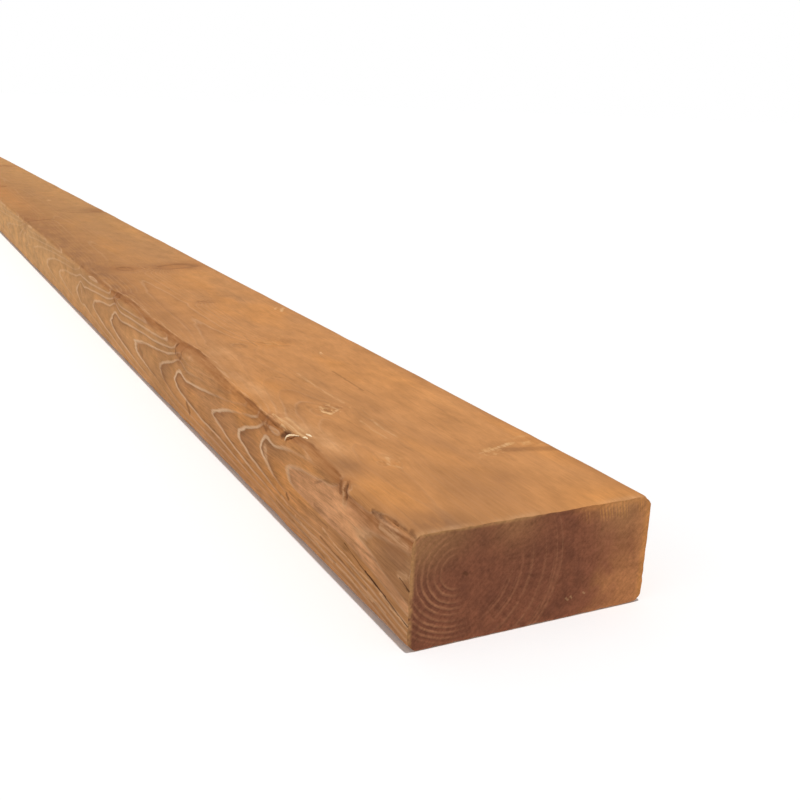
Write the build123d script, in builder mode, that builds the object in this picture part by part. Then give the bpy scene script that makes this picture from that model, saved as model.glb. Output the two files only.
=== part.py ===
"""Treated two-by-four: one straight length of brown pressure-treated framing lumber.

It lies on a wide face. Millimetres, +X along the length, +Y across the width, +Z up,
with the origin in the middle of the bottom face.
"""

import os

from build123d import *

# Driving dimensions: the dressed size of a nominal two-by-four
LENGTH = 2438.4  # 8 ft, the commonest stock length
WIDTH = 88.9  # 3 1/2 in
THICKNESS = 38.1  # 1 1/2 in
EASED_RADIUS = 3.175  # 1/8 in, planed along the four long edges

# The planed section, standing on Z = 0, runs straight between two square saw cuts
with BuildPart() as two_by_four:
    with BuildSketch(Plane.YZ.offset(-LENGTH / 2)):
        Rectangle(WIDTH, THICKNESS, align=(Align.CENTER, Align.MIN))
    extrude(amount=LENGTH)
    fillet(two_by_four.edges().filter_by(Axis.X), radius=EASED_RADIUS)

two_by_four.part.label = "two_by_four"

os.makedirs("parts", exist_ok=True)
export_step(two_by_four.part, "parts/two_by_four.step")
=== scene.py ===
"""Treated two-by-four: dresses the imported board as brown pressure-treated framing lumber.

Laid out as an add-on and run as a script. Growth rings run through the whole board as one log:
the rings on the ends, the arches on the narrow faces and the straight grain on the wide faces
are cuts through the same layers. Lengths are millimetres until a mesh is written in metres.
"""

import math
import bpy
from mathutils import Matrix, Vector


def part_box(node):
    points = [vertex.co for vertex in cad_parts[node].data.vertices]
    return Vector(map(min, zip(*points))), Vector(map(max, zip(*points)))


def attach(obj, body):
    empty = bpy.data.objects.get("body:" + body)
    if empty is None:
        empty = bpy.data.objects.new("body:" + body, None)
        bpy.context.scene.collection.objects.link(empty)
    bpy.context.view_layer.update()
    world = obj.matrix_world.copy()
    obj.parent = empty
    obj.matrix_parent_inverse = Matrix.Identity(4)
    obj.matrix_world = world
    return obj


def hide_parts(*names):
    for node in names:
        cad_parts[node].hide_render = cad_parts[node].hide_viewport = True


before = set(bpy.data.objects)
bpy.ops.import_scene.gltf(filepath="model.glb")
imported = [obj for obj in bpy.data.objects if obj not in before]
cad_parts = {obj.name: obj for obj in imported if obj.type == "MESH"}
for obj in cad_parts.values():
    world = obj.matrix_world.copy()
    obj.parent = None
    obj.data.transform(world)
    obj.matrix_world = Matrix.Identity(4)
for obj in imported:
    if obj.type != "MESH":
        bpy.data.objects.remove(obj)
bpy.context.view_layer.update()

from types import SimpleNamespace
from typing import NamedTuple

import bpy
import numpy as np
from mathutils import Matrix, Vector

bl_info = {
    "name": "Treated Two-by-Four",
    "version": (1, 0, 0),
    "blender": (4, 5, 0),
    "location": "3D View > Sidebar > Lumber",
    "description": "Dresses a plain board as brown treated lumber and sets it on a white floor",
    "category": "Object",
}

NODE = "two_by_four"
BODY = "root"
MM = 0.001

# The board's box, from the frame, in millimetres
LOW, HIGH = (np.array(corner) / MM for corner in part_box(NODE))
LENGTH, WIDTH, THICKNESS = HIGH - LOW
NEAR_END = HIGH[0]
LEFT = LOW[1]
TOP = HIGH[2]

# The log. The pith is where it lies at the near end; it drifts as the board runs on.
PITH_ACROSS = -28.0
PITH_UP = 23.5
PITH_DRIFT = 14.6  # across, each time that 1 + distance / DRIFT_LENGTH grows e-fold
PITH_DROP = 5.6  # how far it sinks once past DROP_LENGTH
DRIFT_LENGTH = 428.0
DROP_LENGTH = 175.0
PITH_RISE = 2.0  # how far it rises before that
RISE_PLACE = 50.0
RISE_LENGTH = 35.0
RING_WIDTH = 2.6  # beside the pith
RING_CROWDING = 0.0039  # rings per square millimetre by which they crowd further out
ARCH_TIPS = (24, 99, 120, 152, 182, 256, 289, 341, 392, 449, 515, 595, 659)  # on the left face
TIP_SPREAD = 1.115  # each later tip is this much further away than the one before
FIRST_TIP_STEP = 30.0  # between the tips that would come before the first
TIPS_BEFORE = 6  # how many of those are counted
TAPER_STEP = 2.0  # between the places where the taper is worked out
TAPER_MARGIN = 40.0  # how far past the ends those places run
TAPER_REACH = 12  # how many places to each side the taper is evened out over
TAPER_BELL = 5.0  # width, in places, of the bell that evens it out
EDGE_REACH = 4.0  # how far the darker stain of an eased edge spreads
EDGE_STAIN = 0.5  # how strong that stain is on the edge itself
WORN_END = (320.0, 560.0)  # between these distances the worn upper left edge becomes sound
WORN_REACH = 9.0  # how far below its upper line the worn upper left edge fades out
WORN_WANDER = 5.0  # how far that line wanders past its last measured place
WORN_BLEND = 40.0  # over how much length the wandering sets in
WORN_LINE = (  # that line: distance from the near end, and how far in over the top it lies
    (0, -1.0),
    (18, -3.4),
    (45, -3.4),
    (54, 1.4),
    (62, 2.9),
    (85, 4.9),
    (95, 3.6),
    (126, 1.1),
    (140, 2.0),
    (175, 2.2),
    (189, 3.5),
    (211, 5.8),
    (238, 6.9),
    (260, 4.8),
    (289, 4.0),
    (318, 3.5),
)
RINGS_SHOW = {"left": 1.0, "top": 0.22, "right": 0.7, "bottom": 0.5}  # how plainly, by face


class Knot(NamedTuple):
    """A branch from the pith to where it comes out of the board, in millimetres."""

    distance: float  # from the near end
    across: float
    up: float
    radius: float
    pull: float  # rings by which the growth layers follow it outwards
    dark: float  # 0 is as pale as the wood around it
    torn: float  # how much pale fibre the planer tore up round it


KNOTS = (
    Knot(48.5, -44.4, 35.2, 2.1, 0.6, 0.65, 0.1),
    Knot(58.0, -22.0, TOP, 2.4, 0.8, 0.2, 0.5),
    Knot(57.0, 26.0, TOP, 3.2, 1.0, 0.12, 0.7),
    Knot(123.0, -44.0, 36.5, 3.4, 0.7, 0.6, 0.3),
    Knot(123.5, -16.5, TOP, 3.2, 1.2, 0.3, 1.0),
    Knot(240.0, 1.5, TOP, 6.0, 2.0, 0.1, 0.3),
    Knot(247.0, -44.0, 36.0, 4.0, 0.9, 0.7, 0.2),
    Knot(352.0, -1.0, TOP, 3.0, 1.0, 0.25, 0.2),
    Knot(392.0, -43.0, 36.0, 4.0, 0.9, 0.6, 0.0),
    Knot(483.0, 14.0, TOP, 8.0, 2.0, 0.45, 0.1),
    Knot(482.0, -18.0, TOP, 6.0, 1.6, 0.5, 0.1),
    Knot(504.0, -44.4, 20.4, 3.0, 0.6, 0.1, 0.0),
    Knot(777.0, -42.0, 36.5, 7.0, 1.0, 0.3, 0.0),
    Knot(847.0, 44.0, 34.0, 9.0, 2.0, 0.35, 0.0),
    Knot(1130.0, -30.0, TOP, 10.0, 2.5, 0.6, 0.1),
    Knot(1240.0, 20.0, 0.0, 11.0, 2.5, 0.7, 0.2),
    Knot(1480.0, 12.0, TOP, 11.0, 2.5, 0.6, 0.2),
    Knot(1490.0, 44.4, 20.0, 9.0, 2.5, 0.7, 0.2),
    Knot(1830.0, -15.0, TOP, 12.0, 2.5, 0.7, 0.2),
    Knot(1850.0, -25.0, 0.0, 11.0, 2.5, 0.7, 0.2),
    Knot(2200.0, 25.0, TOP, 12.0, 2.5, 0.7, 0.2),
    Knot(2210.0, -44.4, 20.0, 9.0, 2.5, 0.7, 0.2),
)
BRANCH_LEAN = 0.3  # how far a branch climbs towards the far end for each millimetre outwards
KNOT_SEED_STEP = 7.3  # between the seeds of one knot's noise and the next's
FAR_FROM_KNOTS = 9.0  # an offset, in radii, that no knot colours
ALONG = (1.0, 0.0, 0.0)  # the way along the board


class Stroke(NamedTuple):
    """A narrow mark from one place to another (distance, across, up)."""

    start: tuple
    end: tuple
    width: float
    strength: float


def on_left(*rows):
    """Strokes on the left face, from rows: distance and height of both ends, width, strength."""
    return tuple(Stroke((a, LEFT, b), (c, LEFT, d), *rest) for a, b, c, d, *rest in rows)


def on_top(*rows):
    """Strokes on the top, from rows: distance and place across of both ends, width, strength."""
    return tuple(Stroke((a, b, TOP), (c, d, TOP), *rest) for a, b, c, d, *rest in rows)


CHECKS = on_left(  # drying cracks in the left narrow face
    (46.0, 16.6, 30.0, 13.5, 0.32, 0.5),
    (30.0, 13.5, 15.0, 11.4, 0.40, 0.95),
    (15.0, 11.4, -0.5, 8.7, 0.36, 0.7),
    (6.0, 22.0, -0.5, 20.1, 0.34, 0.7),
)
LIPS = on_left(  # paler wood along a crack, a ridge or a worn edge
    (19.0, 10.8, 0.2, 8.0, 0.55, 0.8),
    (64.0, 14.4, 51.0, 12.4, 0.60, 0.8),
    (51.0, 12.4, 24.0, 11.9, 0.60, 0.8),
    (52.0, 5.8, 23.0, 6.6, 0.65, 0.6),
    (90.0, 10.0, 55.0, 5.2, 0.65, 0.6),
    (20.5, 33.2, 3.0, 33.8, 1.7, 0.6),
    (49.7, 36.5, 48.6, 32.5, 0.8, 0.5),
    (6.4, 23.0, 2.0, 24.8, 2.0, 0.55),
    (104.0, 12.3, 98.0, 11.3, 0.7, 0.6),
    (40.0, 9.6, 14.0, 6.6, 0.55, 0.55),
    (506.0, 23.4, 502.6, 17.4, 2.6, 0.5),
    (122.6, 25.6, 121.2, 19.6, 2.3, 0.8),
    (121.2, 19.6, 114.0, 16.4, 1.2, 0.5),
)
FURROWS = on_left(  # fine dark lines of the grain on the left narrow face
    (72.0, 20.6, 40.0, 20.0, 0.9, 0.38),
    (40.0, 20.0, 22.0, 20.6, 0.8, 0.36),
    (63.0, 32.7, 72.0, 28.6, 0.7, 0.38),
    (72.0, 28.6, 70.0, 26.7, 0.7, 0.38),
    (70.0, 26.7, 57.0, 28.0, 0.6, 0.28),
    (63.0, 32.7, 53.0, 34.4, 0.7, 0.38),
    (66.0, 10.6, 28.0, 8.2, 0.7, 0.50),
    (96.0, 16.5, 60.0, 16.6, 0.9, 0.36),
    (110.0, 7.6, 62.0, 4.4, 0.7, 0.38),
)
TEARS = on_top(  # pale fibres that the planer lifted
    (125.0, -40.2, 96.0, -38.6, 0.95, 0.55),
    (119.0, -37.2, 97.0, -36.4, 0.8, 0.4),
    (112.0, -41.4, 102.0, -41.0, 0.70, 0.55),
    (61.2, 27.6, 58.8, 22.6, 1.3, 0.6),
    (59.0, 23.0, 56.4, 16.0, 1.1, 0.4),
    (57.0, 17.0, 55.4, 12.5, 0.8, 0.25),
    (129.0, -15.8, 122.4, -13.7, 0.9, 0.5),
    (122.4, -13.7, 117.4, -18.6, 0.9, 0.55),
    (117.4, -18.8, 121.4, -20.7, 1.1, 0.85),
    (121.4, -20.7, 128.0, -18.8, 0.9, 0.5),
    (62.4, -21.4, 56.4, -22.8, 1.1, 0.3),
    (56.4, -22.8, 52.0, -20.2, 0.9, 0.25),
    (214.0, 16.5, 210.0, 15.5, 0.9, 0.8),
    (322.0, 38.5, 319.0, 36.0, 1.4, 0.7),
    (318.0, 36.0, 313.0, 33.5, 1.2, 0.65),
    (324.0, 35.0, 320.0, 32.5, 1.0, 0.5),
    (962.0, 6.0, 952.0, 5.0, 3.0, 0.5),
    (180.0, -8.0, 130.0, -8.6, 0.9, 0.30),
    (105.0, -7.0, 82.0, -7.4, 0.8, 0.30),
    (105.0, -11.6, 82.0, -12.2, 0.8, 0.25),
)
END_RINGS = (19.3, 23.0, 27.0, 32.0, 36.0, 37.7)  # radii of those that show on the near end's right
END_FLECKS = (  # pale chips on the near end
    Stroke((0.0, 13.2, 6.9), (0.0, 14.0, 6.1), 0.5, 0.25),
    Stroke((0.0, 14.8, 7.0), (0.0, 15.3, 6.5), 0.5, 0.30),
    Stroke((0.0, 20.0, 8.0), (0.0, 20.5, 7.5), 0.5, 0.30),
)
PITS = (  # open pits in the upper left edge
    Stroke((48.0, -43.4, 37.2), (46.6, -44.2, 32.8), 1.6, 0.85),
    Stroke((106.0, -43.0, 35.7), (103.0, -42.4, 36.5), 2.4, 1.0),
    Stroke((26.0, -44.2, 35.2), (13.0, -43.6, 36.8), 1.5, 1.0),
    Stroke((4.5, -42.8, 37.6), (1.0, -43.4, 37.0), 1.7, 0.9),
)
PIT_SHADE_AND_SPECKS = PITS + (  # pits and nicks, darkened as painted shade in their hollows, and specks that took up more stain
    Stroke((51.8, -43.6, 37.0), (50.4, -44.2, 32.6), 1.1, 0.45),
    Stroke((13.0, -43.6, 36.8), (5.0, -43.2, 37.3), 1.2, 0.9),
    Stroke((122.4, -44.3, 35.2), (124.8, -42.8, 37.5), 1.0, 0.75),
    Stroke((253.0, -44.3, 33.2), (254.4, -42.6, 37.4), 1.2, 0.7),
    Stroke((125.0, -17.4, TOP), (121.6, -17.9, TOP), 1.8, 0.2),
    Stroke((99.0, LEFT, 14.4), (96.6, LEFT, 13.5), 1.1, 0.7),
    Stroke((234.5, LEFT, 12.2), (229.5, LEFT, 9.0), 2.2, 0.55),
    Stroke((330.0, LEFT, 18.0), (324.0, LEFT, 16.0), 2.5, 0.35),
    Stroke((356.0, -3.0, TOP), (348.0, 5.0, TOP), 1.2, 0.22),
    Stroke((178.0, 8.2, TOP), (144.0, 7.6, TOP), 0.8, 0.35),
    Stroke((56.0, 24.0, TOP), (50.0, 43.0, TOP), 3.6, 0.34),
    Stroke((836.0, 8.0, TOP), (832.0, 35.0, TOP), 4.0, 0.25),
    Stroke((768.0, -42.0, TOP), (781.0, -19.0, TOP), 3.0, 0.3),
    Stroke((244.0, -5.0, TOP), (237.0, 2.0, TOP), 1.5, 0.22),
    Stroke((233.4, 1.0, TOP), (231.0, 7.5, TOP), 1.3, 0.25),
    Stroke((176.8, -19.6, TOP), (175.4, -17.8, TOP), 1.0, 0.3),
    Stroke((0.0, -25.8, 22.9), (0.0, -24.6, 22.3), 0.7, 0.75),
)
TORN_HOLLOW = ((98.5, -40.5, TOP), (6.0, 4.0, 4.0), 0.9)  # its place, reach and depth


class Tint(NamedTuple):
    """A soft patch of colour round a place (distance, across, up): its reach along and aside."""

    place: tuple
    along: float
    aside: float
    amount: float


MOST_TINT = 1.5  # what patches that overlap can add up to
DULL_PATCHES_AND_SHADE = (  # duller and darker: stain patches, and painted shade low on the left face near the floor and along the upper left edge near the end
    Tint((61.0, -37.0, TOP), 11.0, 7.0, 1.1),
    Tint((42.0, LEFT, 17.2), 20.0, 2.4, 0.9),
    Tint((6.0, -31.0, TOP), 9.0, 13.0, 0.9),
    Tint((1.5, -33.0, TOP), 4.0, 10.0, 0.9),
    Tint((14.0, LEFT, 25.0), 9.0, 6.0, 0.6),
    Tint((26.0, -7.0, TOP), 26.0, 14.0, 0.65),
    Tint((2.0, LEFT, 27.0), 14.0, 9.0, 0.9),
    Tint((0.0, LEFT, 12.0), 22.0, 14.0, 0.6),
    # painted shade: this and the next two darken the low left face near the floor
    Tint((8.0, LEFT, 4.0), 22.0, 5.0, 0.7),
    Tint((46.0, LEFT, 3.5), 28.0, 4.0, 0.5),
    Tint((28.0, LEFT, 9.5), 30.0, 6.0, 0.5),
    Tint((13.0, -36.0, TOP), 13.0, 8.0, 0.5),
    Tint((141.0, LEFT, 23.0), 12.0, 5.0, 1.0),
    Tint((118.0, LEFT, 27.0), 9.0, 6.0, 0.6),
    Tint((274.0, LEFT, 20.0), 18.0, 8.0, 1.2),
    Tint((243.0, LEFT, 17.0), 9.0, 6.0, 0.55),
    Tint((484.0, 6.0, TOP), 22.0, 30.0, 0.6),
    Tint((790.0, -38.0, TOP), 60.0, 12.0, 0.8),
    Tint((850.0, 34.0, TOP), 30.0, 16.0, 0.8),
    Tint((400.0, -40.0, TOP), 130.0, 12.0, 0.8),
    # painted shade: this and the next darken the low left face near the floor
    Tint((160.0, LEFT, 5.0), 70.0, 5.0, 0.65),
    Tint((330.0, LEFT, 8.0), 120.0, 9.0, 0.35),
    Tint((640.0, -36.0, TOP), 220.0, 16.0, 0.95),
    Tint((950.0, -10.0, TOP), 560.0, 42.0, 0.75),
    Tint((1350.0, -34.0, TOP), 300.0, 14.0, 0.6),
    Tint((1080.0, -32.0, TOP), 260.0, 16.0, 0.5),
    # painted shade along the upper left edge near the end
    Tint((30.0, -43.0, 37.2), 14.0, 2.2, 0.8),
    Tint((30.0, 8.0, TOP), 7.0, 5.0, 0.5),
    Tint((75.0, 4.0, TOP), 12.0, 5.0, 0.4),
    Tint((150.0, -22.0, TOP), 14.0, 5.0, 0.45),
    Tint((120.0, 2.0, TOP), 16.0, 4.0, 0.35),
    Tint((205.0, -38.0, TOP), 30.0, 4.0, 0.4),
    Tint((0.0, 4.0, 20.0), 2.0, 16.0, 0.7),
    Tint((0.0, -16.0, 15.0), 2.0, 10.0, 0.4),
)
WARMTHS = (  # more orange
    Tint((2.0, 30.0, TOP), 14.0, 18.0, 0.8),
    Tint((28.0, -33.0, TOP), 14.0, 8.0, 0.6),
    Tint((150.0, 30.0, TOP), 40.0, 14.0, 0.4),
    Tint((150.0, LEFT, 30.0), 30.0, 5.0, 0.4),
    Tint((76.0, LEFT, 31.5), 18.0, 4.0, 0.7),
    Tint((113.0, -43.5, 37.0), 7.0, 3.0, 0.9),
    Tint((238.0, 0.5, TOP), 8.0, 8.0, 0.9),
    Tint((61.0, -22.0, TOP), 7.0, 4.5, 0.9),
    Tint((1080.0, -32.0, TOP), 300.0, 15.0, 0.6),
)
PALES = (  # paler and pinker or yellower
    Tint((40.0, LEFT, 25.0), 20.0, 4.5, 0.4),
    Tint((124.0, LEFT, 24.5), 4.0, 2.6, 1.2),
    Tint((88.0, -33.0, TOP), 15.0, 4.5, 0.8),
    Tint((112.0, -37.0, TOP), 18.0, 4.0, 0.7),
    Tint((165.0, -35.0, TOP), 26.0, 4.5, 0.6),
    Tint((63.0, -21.0, TOP), 5.0, 3.0, 0.7),
    Tint((230.0, -30.0, TOP), 30.0, 9.0, 0.4),
    Tint((130.0, LEFT, 4.0), 70.0, 3.0, 0.2),
    Tint((0.0, 33.0, 34.5), 2.0, 9.0, 0.9),
    Tint((0.0, -42.0, 34.0), 2.0, 8.0, 1.0),
    Tint((0.0, -30.0, 37.5), 2.0, 8.0, 0.6),
    Tint((0.0, -8.0, 38.0), 2.0, 9.0, 0.7),
)

# The mesh's grid
ARC_STEPS = 4  # from the middle of an eased edge to where it meets a face
WIDE_STEPS = 36  # along the flat of a wide face
NARROW_STEPS = 16  # along the flat of a narrow face
MAP_GAP = 0.007  # between the parts of the map that the board is baked on
MAP_STRIPS = ((0.0, 0.36), (500.0, 0.24), (1300.0, 0.20))  # each strip's start and height
MAP_END = (0.44, 0.155)  # width and height of an end on the map
STATIONS = (  # from each of these distances on, the section is drawn in steps of this length
    (0.0, 0.4),
    (2.0, 0.75),
    (60.0, 0.9),
    (140.0, 1.6),
    (420.0, 3.2),
    (900.0, 8.0),
)
LAST_STATIONS = (2.0, 1.0, 0.4, 0.0)  # distances from the far end
GATHER_REACH = 2.6  # how far from a crack rows are drawn towards it
GATHER_SHARE = 0.85  # how much of their way they are drawn

# Relief: depths in millimetres inside the plain section
LEAST_DEPTH = 0.03
WAVE_DEPTH = 0.10  # the planer's waves
LEAST_WEAR = 0.10  # along every eased edge
WEAR_DEPTH = 0.45  # more wear here and there
KNOCK_DEPTH = 0.9  # where an eased edge was knocked flat
CHIP_DEPTH = 0.9  # chips on the upper left edge
WORN_DEPTH = 0.35  # the worn part below that edge's line
DISH_DEPTH = 0.30  # the middle of a knot
PIT_DEPTH = 0.9
CRACK_DEPTH = 0.5
LEAST_CRUMBLE = 0.15  # round each saw cut
CRUMBLE_DEPTH = 0.45  # more crumbling here and there
CRUMBLE_REACH = 0.45  # how far from the cut it fades
CUT_DEPTH = 0.18  # unevenness of a sawn end

# Noise on a lattice
LATTICE_TABLE = 4096  # random values, as many as a power of two
LATTICE_PRIMES = (73856093, 19349663, 83492791)  # they spread the corners over the table


def srgb(red, green, blue):
    """A colour written as screen values from 0 to 255, as the linear values that nodes take."""
    share = np.array((red, green, blue)) / 255
    return tuple(np.where(share <= 0.04045, share / 12.92, ((share + 0.055) / 1.055) ** 2.4))


def smooth(low, high, value):
    """0 below low, 1 above high and a smoothstep between; low may be the greater one."""
    t = np.clip((value - low) / (high - low), 0, 1)
    return t * t * (3 - 2 * t)


def lattice_noise(points, cell, seed):
    """Noise from 0 to 1: random values on a lattice of the given cell, blended smoothly between."""
    table = np.random.default_rng(seed).random(LATTICE_TABLE)
    where = points / np.asarray(cell, float)
    base = np.floor(where).astype(np.int64)
    blend = where - base
    blend = blend * blend * (3 - 2 * blend)
    total = np.zeros(points.shape[:-1])
    for step in np.ndindex(2, 2, 2):
        first, second, third = np.moveaxis((base + step) * LATTICE_PRIMES, -1, 0)
        weight = np.where(np.array(step) == 1, blend, 1 - blend).prod(-1)
        total += weight * table[(first ^ second ^ third) & (LATTICE_TABLE - 1)]
    return total


def unit(vectors):
    """The same vectors, each of length one."""
    return vectors / np.linalg.norm(vectors, axis=-1, keepdims=True)


# The log: every function takes points as (distance from the near end, across, up)


def pith(distance):
    """Where the pith lies across and up.

    It drifts as a logarithm, rises as a bell and sinks in a smooth step.
    """
    drift = PITH_DRIFT * np.log1p(np.maximum(distance, 0) / DRIFT_LENGTH)
    drop = PITH_DROP * (1 - np.exp(-((distance / DROP_LENGTH) ** 4)))
    rise = PITH_RISE * np.exp(-(((distance - RISE_PLACE) / RISE_LENGTH) ** 2))
    return PITH_ACROSS + drift, PITH_UP + rise - drop


def rings_within(radius):
    """Rings between the pith and a radius: a quadratic, because rings crowd further out."""
    return radius / RING_WIDTH + RING_CROWDING * radius**2


def taper(distance):
    """Rings that the tree's taper adds along the board, so that one ring ends at each arch tip."""
    tips = list(ARCH_TIPS)
    while tips[-1] < LENGTH * TIP_SPREAD:
        tips.append(tips[-1] * TIP_SPREAD)
    before = [tips[0] - FIRST_TIP_STEP * k for k in range(TIPS_BEFORE, 0, -1)]
    tips = np.array(before + tips)
    grid = np.arange(-TAPER_MARGIN, LENGTH + TAPER_MARGIN, TAPER_STEP)
    count = np.interp(grid, tips, np.arange(len(tips)))
    bell = np.exp(-((np.arange(-TAPER_REACH, TAPER_REACH + 1) / TAPER_BELL) ** 2))
    padded = np.pad(count, TAPER_REACH, mode="reflect", reflect_type="odd")
    count = np.convolve(padded, bell / bell.sum(), "valid")
    return np.interp(distance, grid, count) - rings_within(pith(distance)[0] - LEFT)


def branch(knot, points):
    """How points lie in a branch, a cone whose radius grows in step with the way out.

    Returns the distance from its axis over its radius there, the share of the way out from the
    pith, the offset from the axis, the axis and the radius there.
    """
    across, up = pith(np.array(knot.distance))
    reach = math.hypot(knot.across - across, knot.up - up)
    root = np.array((knot.distance - BRANCH_LEAN * reach, across, up))
    axis = np.array((knot.distance, knot.across, knot.up)) - root
    out = np.clip((points - root) @ axis / (axis @ axis), 0, 1.3)
    offset = points - root - out[..., None] * axis
    radius = knot.radius * np.maximum(out, 0.25)
    return np.linalg.norm(offset, axis=-1) / radius, out, offset, axis, radius


def log_place(points):
    """(place in the straight log: along, across and up from the pith; rings added there).

    Fibres part round each branch, and the rings follow it outwards by the knot's pull.
    """
    across, up = pith(points[..., 0])
    place = points - np.stack((0 * across, across, up), -1)
    wave = lattice_noise(points, (140, 40, 40), 3) - 0.5
    ripple = lattice_noise(points, (60, 22, 22), 4) - 0.5
    added = taper(points[..., 0]) + 0.5 * wave + 0.25 * ripple
    for knot in KNOTS:
        ratio, out, offset, axis, radius = branch(knot, points)
        outer = smooth(0.1, 0.6, out)
        added -= knot.pull * outer * np.exp(-((ratio / 2.4) ** 2))
        side = unit(np.cross(axis, ALONG))
        aside = offset @ side
        bell = np.exp(-((offset[..., 0] / (3 * radius)) ** 2) - (aside / (4 * radius)) ** 2)
        step = radius * outer * bell * (aside / (np.abs(aside) + 0.5 * radius))
        place -= step[..., None] * side
    return place, added


def ring_count(points):
    """Rings from the pith: those within the radius, plus what taper and branches add."""
    place, added = log_place(points)
    return rings_within(np.hypot(place[..., 1], place[..., 2])) + added


def ring_slope(points, normals):
    """Rings per millimetre along the surface: the count's gradient, less its part along the normal.

    The gradient is the rise over a short step to both sides along each axis.
    """
    step = 0.25
    rises = [ring_count(points + shift) - ring_count(points - shift) for shift in step * np.eye(3)]
    gradient = np.stack(rises, -1) / (2 * step)
    outward = (gradient * normals).sum(-1, keepdims=True)
    return np.linalg.norm(gradient - outward * normals, axis=-1)


def rings_show(points, normals):
    """How plainly rings show, by the face that a normal looks from.

    They fade in the upper part near the end, high up between two edge knots, low down and far off.
    """
    across, up = normals[..., 1], normals[..., 2]
    facing = {"left": -across, "right": across, "top": up, "bottom": -up}
    show = sum(RINGS_SHOW[face] * np.maximum(share, 0) ** 2 for face, share in facing.items())
    distance, height = points[..., 0], points[..., 2]
    near = 0.75 * smooth(125.0, 85.0, distance) * smooth(9.0, 15.0, height)
    between = 0.75 * smooth(135.0, 150.0, distance) * smooth(246.0, 236.0, distance)
    between *= smooth(26.0, 30.0, height)
    low = 0.45 * smooth(12.0, 6.0, height) * smooth(60.0, 110.0, distance)
    far = 0.4 * smooth(330.0, 600.0, distance)
    return show * (1 - near) * (1 - between) * (1 - low) * (1 - far)


def arris(points):
    """How close each point is to one of the three sound long edges: a bell round each."""
    total = np.zeros(points.shape[:-1])
    for across, up in ((LOW[1], LOW[2]), (HIGH[1], LOW[2]), (HIGH[1], HIGH[2])):
        away = (points[..., 1] - across) ** 2 + (points[..., 2] - up) ** 2
        total += EDGE_STAIN * np.exp(-away / EDGE_REACH**2)
    return total


def below_worn_line(points):
    """How far below the worn edge's wavy line each point lies, measured round the edge.

    The line runs through its measured places; past the last of them it wanders by noise.
    """
    distances, places = np.transpose(WORN_LINE)
    line = np.interp(points[..., 0], distances, places)
    beyond = smooth(distances[-1], distances[-1] + WORN_BLEND, points[..., 0])
    line += beyond * WORN_WANDER * (lattice_noise(points * ALONG, (60, 1, 1), 16) - 0.5)
    over = points[..., 1] - LEFT - (TOP - points[..., 2])
    return line - np.where(points[..., 1] < LEFT + 20, over, WIDTH)


def knot_look(points):
    """Where points lie in the nearest knot, and what kind of knot it is.

    The place is two offsets from its axis over its radius, and a seed; the kind is how dark it is,
    how torn, and how plainly it shows.
    """
    place = np.full(points.shape, FAR_FROM_KNOTS)
    kind = np.zeros(points.shape)
    nearest = np.full(points.shape[:-1], np.inf)
    for seed, knot in enumerate(KNOTS):
        ratio, out, offset, axis, radius = branch(knot, points)
        side = unit(np.cross(axis, ALONG))
        lengthwise = unit(np.cross(side, axis))
        here = ratio < nearest
        seeds = np.full_like(ratio, KNOT_SEED_STEP * seed)
        aside = (offset @ side / radius, offset @ lengthwise / radius, seeds)
        shown = smooth(0.55, 0.85, out)
        place[here] = np.stack(aside, -1)[here]
        kind[here] = np.stack((knot.dark * shown, knot.torn * shown, shown), -1)[here]
        nearest[here] = ratio[here]
    return place, kind


def tints(points):
    """(duller, warmer, paler) at each point: the sum of soft bell-shaped patches of each kind; the
    duller sum also holds painted shade.
    """
    sums = []
    for patches in (DULL_PATCHES_AND_SHADE, WARMTHS, PALES):
        total = np.zeros(points.shape[:-1])
        for patch in patches:
            reach = (points - patch.place) / (patch.along, patch.aside, patch.aside)
            total += patch.amount * np.exp(-(reach**2).sum(-1))
        sums.append(np.minimum(total, MOST_TINT))
    return np.stack(sums, -1)


def stroke_depth(strokes, points):
    """How deep in a stroke each point lies, from 0 to its strength: a bell across its line."""
    total = np.zeros(points.shape[:-1])
    for stroke in strokes:
        start, run = np.array(stroke.start), np.array(stroke.end) - stroke.start
        share = np.clip((points - start) @ run / (run @ run), 0, 1)
        away = np.linalg.norm(points - start - share[..., None] * run, axis=-1)
        total = np.maximum(total, stroke.strength * np.exp(-((away / stroke.width) ** 2)))
    return total


# The board's surface


def board_outline(radius):
    """The section as a closed line (across, up), with its normals and how far round an eased edge.

    It starts in the middle of the lower left eased edge and runs along the bottom, up the right,
    back along the top and down the left; each side is half an arc, a straight and half an arc.
    """
    half_width, half_height = WIDTH / 2 - radius, THICKNESS / 2 - radius
    centre_up = LOW[2] + THICKNESS / 2
    turn = np.linspace(0, math.pi / 4, ARC_STEPS + 1)
    spots, normals, eased = [], [], []
    corners = ((-1, -1), (1, -1), (1, 1), (-1, 1))
    for side, (sign_across, sign_up) in enumerate(corners):
        next_across, next_up = corners[(side + 1) % 4]
        steps = WIDE_STEPS if side % 2 == 0 else NARROW_STEPS
        facing = math.pi * (side / 2 - 0.5)
        start = np.array((sign_across * half_width, sign_up * half_height))
        end = np.array((next_across * half_width, next_up * half_height))
        straight = np.linspace(0, 1, steps + 1)
        angles = (facing - turn[:0:-1], np.full(steps + 1, facing), facing + turn[1:-1])
        angles = np.concatenate(angles)
        share = np.concatenate((np.zeros(ARC_STEPS), straight, np.ones(ARC_STEPS - 1)))
        normal = np.stack((np.cos(angles), np.sin(angles)), -1)
        spots.append(start + share[:, None] * (end - start) + radius * normal)
        normals.append(normal)
        eased.append(np.abs(angles - facing) / (math.pi / 4))
    outline = np.concatenate(spots) + (0, centre_up)
    return outline, np.concatenate(normals), np.concatenate(eased)


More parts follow.
